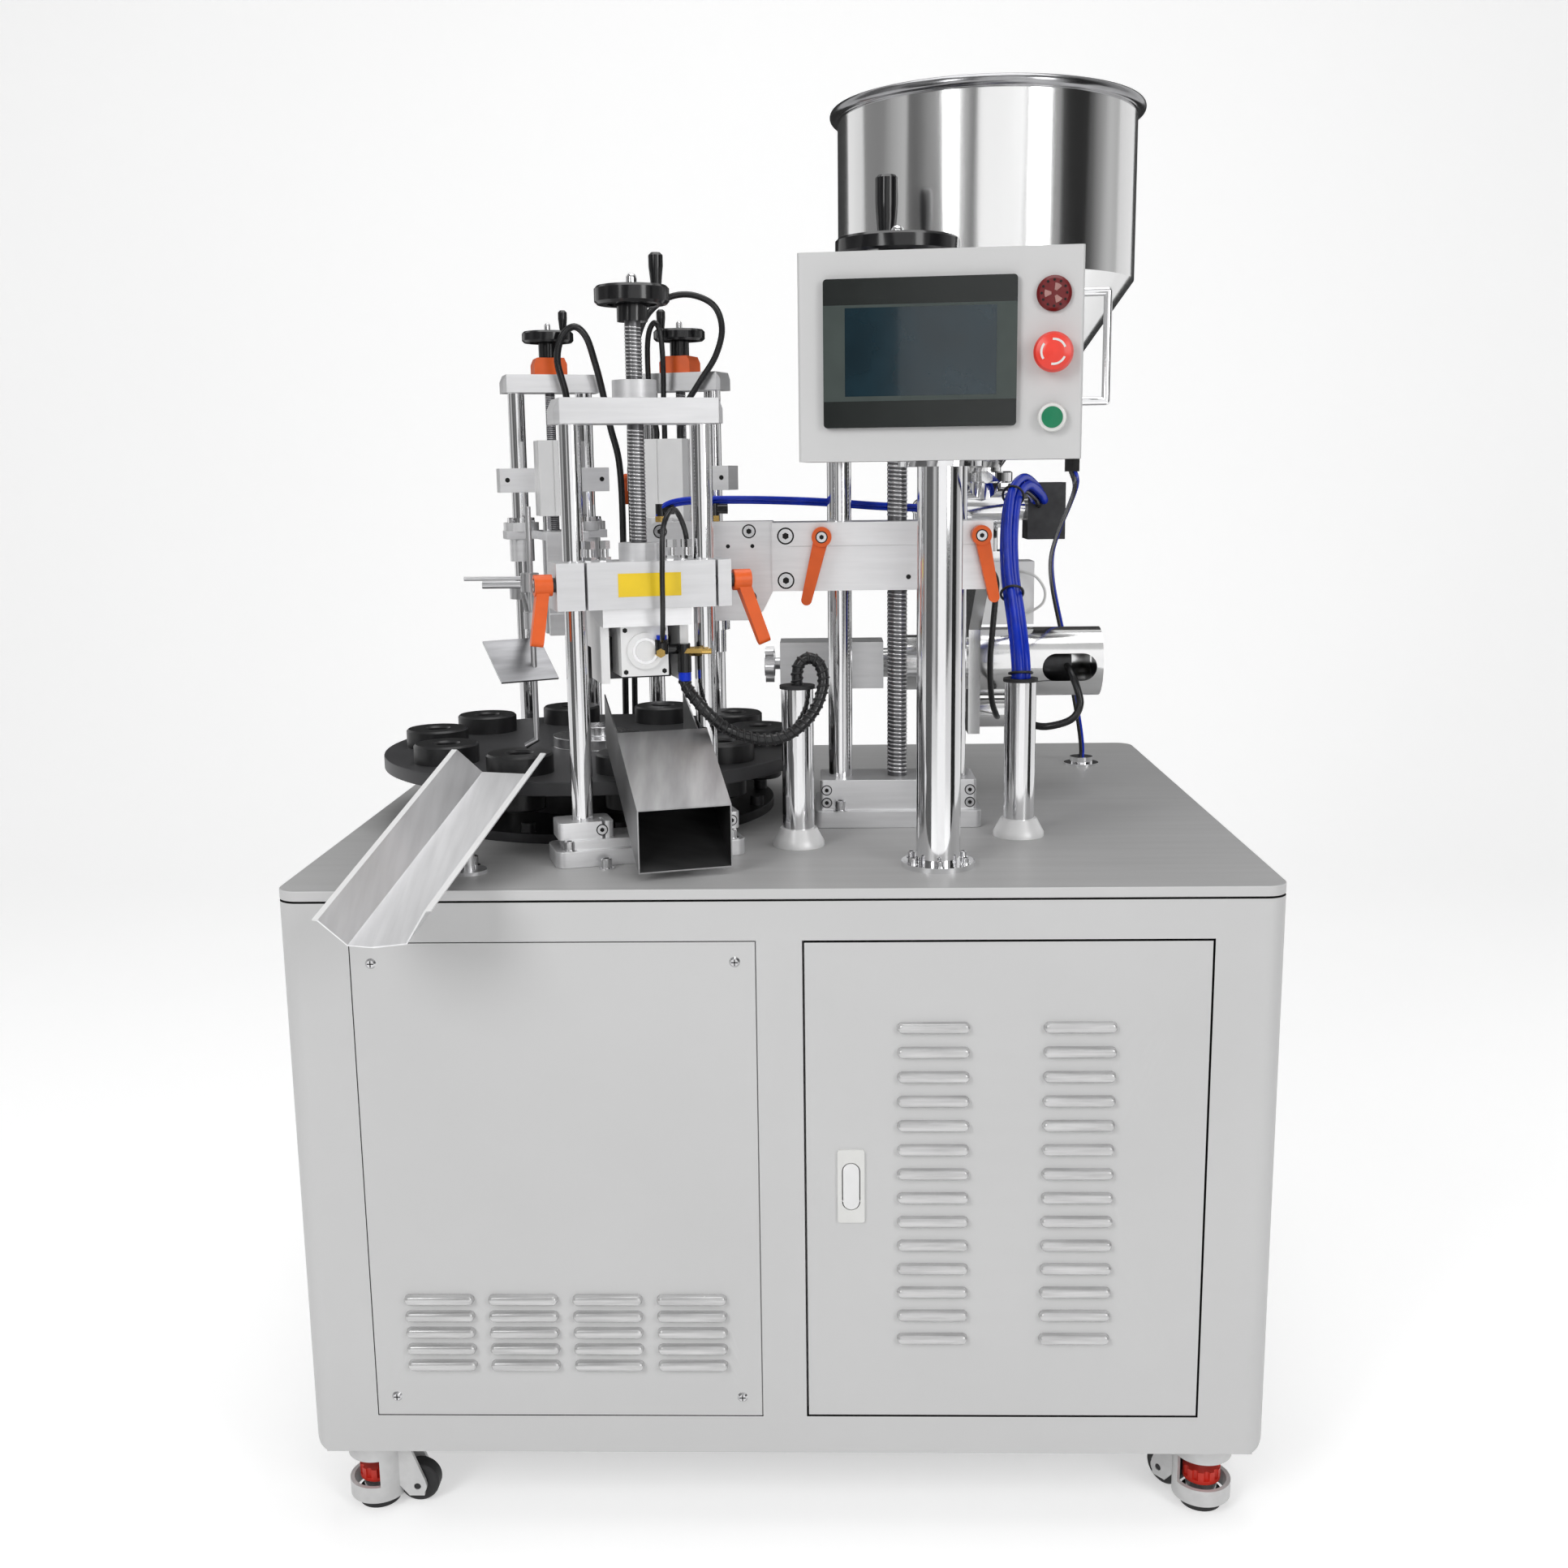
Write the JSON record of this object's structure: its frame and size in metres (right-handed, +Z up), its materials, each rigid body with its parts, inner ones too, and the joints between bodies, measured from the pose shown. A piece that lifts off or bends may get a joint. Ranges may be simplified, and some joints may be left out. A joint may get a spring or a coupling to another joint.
{
  "type": "tube filling machine",
  "caption": "Rotary tube filling machine on a grey cabinet: indexing turntable with tube cups, tail cutter, rear press stations, filling gantry with hopper and operator box.",
  "frame": {"origin": "middle of the bounding box at floor level", "axes": "+Z up, -Y towards the operator, +X to the operator's right"},
  "size_m": [1.1, 1.062, 1.687],
  "materials": {
    "cabinet_paint": "satin",
    "table_steel": "satin",
    "alloy": "satin",
    "chrome": "gloss",
    "stainless": "satin",
    "black_paint": "satin",
    "black_plastic": "matte",
    "orange_plastic": "satin",
    "die_cast": "satin",
    "wheel_rubber": "matte",
    "red_plastic": "gloss",
    "green_plastic": "gloss",
    "hose_black": "matte",
    "hose_blue": "gloss"
  },
  "bodies": {
    "frame": {"cabinet_shell": "cabinet_paint", "table_top": "table_steel", "front_panel": "cabinet_paint", "door_hinges": "chrome", "control_plate": "alloy", "index_drive": "alloy", "turntable_base": "black_paint", "guide_posts": "chrome", "station_bases": "alloy", "filler_base": "alloy", "top_plates": "alloy", "height_counters": "orange_plastic", "scrap_chute": "stainless", "hmi_column": "chrome", "conduit_pipes": "chrome", "discharge_chute": "stainless", "tube_deflector": "chrome", "rear_hoses": "hose_black", "filler_hose": "hose_blue", "hmi_cable": "hose_blue"},
    "turntable": {"turntable_disc": "black_paint", "tube_cups": "black_plastic"},
    "door": {"front_door": "cabinet_paint", "latch_case": "die_cast"},
    "latch": {"latch_lever": "die_cast"},
    "cutter_head": {"cutter_block": "alloy", "cutter_unit": "alloy", "cutter_hoses": "hose_black"},
    "knife": {"cutter_knife": "chrome"},
    "cutter_wheel": {"cutter_screw": "black_paint"},
    "cutter_clamp_left": {"cutter_lever_left": "orange_plastic"},
    "cutter_clamp_right": {"cutter_lever_right": "orange_plastic"},
    "rear_left_head": {"left_head": "alloy"},
    "rear_left_press": {"left_press": "alloy"},
    "rear_left_wheel": {"left_screw": "black_paint"},
    "rear_right_head": {"right_head": "alloy"},
    "rear_right_wheel": {"right_screw": "black_paint"},
    "filler_head": {"filler_crosshead": "alloy", "filler_pump": "stainless", "hopper": "stainless", "filler_lines": "hose_blue"},
    "filler_wheel": {"filler_screw": "black_paint"},
    "filler_clamp_left": {"filler_lever_left": "orange_plastic"},
    "filler_clamp_right": {"filler_lever_right": "orange_plastic"},
    "hmi": {"hmi_box": "cabinet_paint", "hmi_screen": "black_plastic"},
    "estop": {"estop_button": "red_plastic"},
    "start": {"start_button": "green_plastic"},
    "caster_front_left": {"caster_front_left": "die_cast"},
    "wheel_front_left": {"wheel_front_left": "wheel_rubber"},
    "foot_front_left": {"foot_front_left": "wheel_rubber"},
    "caster_front_right": {"caster_front_right": "die_cast"},
    "wheel_front_right": {"wheel_front_right": "wheel_rubber"},
    "foot_front_right": {"foot_front_right": "wheel_rubber"},
    "caster_rear_left": {"caster_rear_left": "die_cast"},
    "wheel_rear_left": {"wheel_rear_left": "wheel_rubber"},
    "foot_rear_left": {"foot_rear_left": "wheel_rubber"},
    "caster_rear_right": {"caster_rear_right": "die_cast"},
    "wheel_rear_right": {"wheel_rear_right": "wheel_rubber"},
    "foot_rear_right": {"foot_rear_right": "wheel_rubber"}
  },
  "joints": [
    {"name": "turntable_spin", "type": "hinge", "parent": "frame", "child": "turntable", "pos_m": [-0.255, 0.039, 0.853], "axis": [0, 0, 1], "continuous": true},
    {"name": "door_swing", "type": "hinge", "parent": "frame", "child": "door", "pos_m": [0.4525, -0.411, 0.4265], "axis": [0, 0, 1], "range_deg": [0, 100]},
    {"name": "latch_lift", "type": "hinge", "parent": "door", "child": "latch", "pos_m": [0.077, -0.419, 0.4082], "axis": [1, 0, 0], "range_deg": [0, 40], "stiffness_Nm_per_rad": 0.05},
    {"name": "swivel_front_left", "type": "hinge", "parent": "frame", "child": "caster_front_left", "pos_m": [-0.492, -0.361, 0.05], "axis": [0, 0, 1], "continuous": true},
    {"name": "roll_front_left", "type": "hinge", "parent": "caster_front_left", "child": "wheel_front_left", "pos_m": [-0.442, -0.361, 0.024], "axis": [0, 1, 0], "continuous": true},
    {"name": "level_front_left", "type": "slide", "parent": "caster_front_left", "child": "foot_front_left", "axis": [0, 0, 1], "range_m": [-0.006, 0.008]},
    {"name": "swivel_front_right", "type": "hinge", "parent": "frame", "child": "caster_front_right", "pos_m": [0.492, -0.361, 0.05], "axis": [0, 0, 1], "continuous": true},
    {"name": "roll_front_right", "type": "hinge", "parent": "caster_front_right", "child": "wheel_front_right", "pos_m": [0.45986, -0.3227, 0.024], "axis": [-0.766, -0.6428, 0], "continuous": true},
    {"name": "level_front_right", "type": "slide", "parent": "caster_front_right", "child": "foot_front_right", "axis": [0, 0, 1], "range_m": [-0.006, 0.008]},
    {"name": "swivel_rear_left", "type": "hinge", "parent": "frame", "child": "caster_rear_left", "pos_m": [-0.492, 0.473, 0.05], "axis": [0, 0, 1], "continuous": true},
    {"name": "roll_rear_left", "type": "hinge", "parent": "caster_rear_left", "child": "wheel_rear_left", "pos_m": [-0.44501, 0.4901, 0.024], "axis": [-0.342, 0.9397, 0], "continuous": true},
    {"name": "level_rear_left", "type": "slide", "parent": "caster_rear_left", "child": "foot_rear_left", "axis": [0, 0, 1], "range_m": [-0.006, 0.008]},
    {"name": "swivel_rear_right", "type": "hinge", "parent": "frame", "child": "caster_rear_right", "pos_m": [0.492, 0.473, 0.05], "axis": [0, 0, 1], "continuous": true},
    {"name": "roll_rear_right", "type": "hinge", "parent": "caster_rear_right", "child": "wheel_rear_right", "pos_m": [0.44501, 0.4559, 0.024], "axis": [0.342, -0.9397, 0], "continuous": true},
    {"name": "level_rear_right", "type": "slide", "parent": "caster_rear_right", "child": "foot_rear_right", "axis": [0, 0, 1], "range_m": [-0.006, 0.008]},
    {"name": "cutter_height", "type": "slide", "parent": "frame", "child": "cutter_head", "axis": [0, 0, 1], "range_m": [-0.008, 0.12], "deforming": ["cutter_hoses"]},
    {"name": "cutter_screw_turn", "type": "hinge", "parent": "cutter_head", "child": "cutter_wheel", "pos_m": [-0.15828, -0.25868, 1.168], "axis": [0, 0, 1], "continuous": true},
    {"name": "cutter_clamp_left_turn", "type": "hinge", "parent": "cutter_head", "child": "cutter_clamp_left", "pos_m": [-0.24658, -0.31051, 1.089], "axis": [0.9511, 0.309, 0], "range_deg": [-45, 45]},
    {"name": "cutter_clamp_right_turn", "type": "hinge", "parent": "cutter_head", "child": "cutter_clamp_right", "pos_m": [-0.05637, -0.2487, 1.089], "axis": [0.9511, 0.309, 0], "range_deg": [-45, 45]},
    {"name": "knife_stroke", "type": "slide", "parent": "cutter_head", "child": "knife", "axis": [-0.309, 0.9511, 0], "range_m": [0, 0.014]},
    {"name": "left_height", "type": "slide", "parent": "frame", "child": "rear_left_head", "axis": [0, 0, 1], "range_m": [-0.02, 0.06], "deforming": ["rear_hoses"]},
    {"name": "left_screw_turn", "type": "hinge", "parent": "frame", "child": "rear_left_wheel", "pos_m": [-0.35172, 0.33668, 1.368], "axis": [0, 0, 1], "continuous": true},
    {"name": "right_height", "type": "slide", "parent": "frame", "child": "rear_right_head", "axis": [0, 0, 1], "range_m": [-0.02, 0.06], "deforming": ["rear_hoses"]},
    {"name": "right_screw_turn", "type": "hinge", "parent": "frame", "child": "rear_right_wheel", "pos_m": [-0.15828, 0.33668, 1.368], "axis": [0, 0, 1], "continuous": true},
    {"name": "left_press_stroke", "type": "slide", "parent": "rear_left_head", "child": "rear_left_press", "axis": [0, 0, 1], "range_m": [-0.015, 0.018]},
    {"name": "filler_height", "type": "slide", "parent": "frame", "child": "filler_head", "axis": [0, 0, 1], "range_m": [-0.035, 0.07], "deforming": ["filler_hose"]},
    {"name": "filler_screw_turn", "type": "hinge", "parent": "frame", "child": "filler_wheel", "pos_m": [0.143, -0.069, 1.458], "axis": [0, 0, 1], "continuous": true},
    {"name": "filler_clamp_left_turn", "type": "hinge", "parent": "filler_head", "child": "filler_clamp_left", "pos_m": [0.049, -0.114, 1.132], "axis": [0, 1, 0], "range_deg": [-45, 45]},
    {"name": "filler_clamp_right_turn", "type": "hinge", "parent": "filler_head", "child": "filler_clamp_right", "pos_m": [0.242, -0.114, 1.132], "axis": [0, 1, 0], "range_deg": [0, 45]},
    {"name": "hmi_swivel", "type": "hinge", "parent": "frame", "child": "hmi", "pos_m": [0.179, -0.316, 1.219], "axis": [0, 0, 1], "range_deg": [-40, 40]},
    {"name": "estop_push", "type": "slide", "parent": "hmi", "child": "estop", "axis": [0.1149, 0.9934, 0], "range_m": [0, 0.005], "stiffness_N_per_m": 800},
    {"name": "start_push", "type": "slide", "parent": "hmi", "child": "start", "axis": [0.1149, 0.9934, 0], "range_m": [0, 0.003], "stiffness_N_per_m": 600}
  ],
  "couplings": [
    {"joint": "cutter_screw_turn", "follows": "cutter_height", "rad_per_m": 1570.8},
    {"joint": "left_screw_turn", "follows": "left_height", "rad_per_m": 2094.4},
    {"joint": "right_screw_turn", "follows": "right_height", "rad_per_m": 2094.4},
    {"joint": "filler_screw_turn", "follows": "filler_height", "rad_per_m": 1256.6}
  ]
}
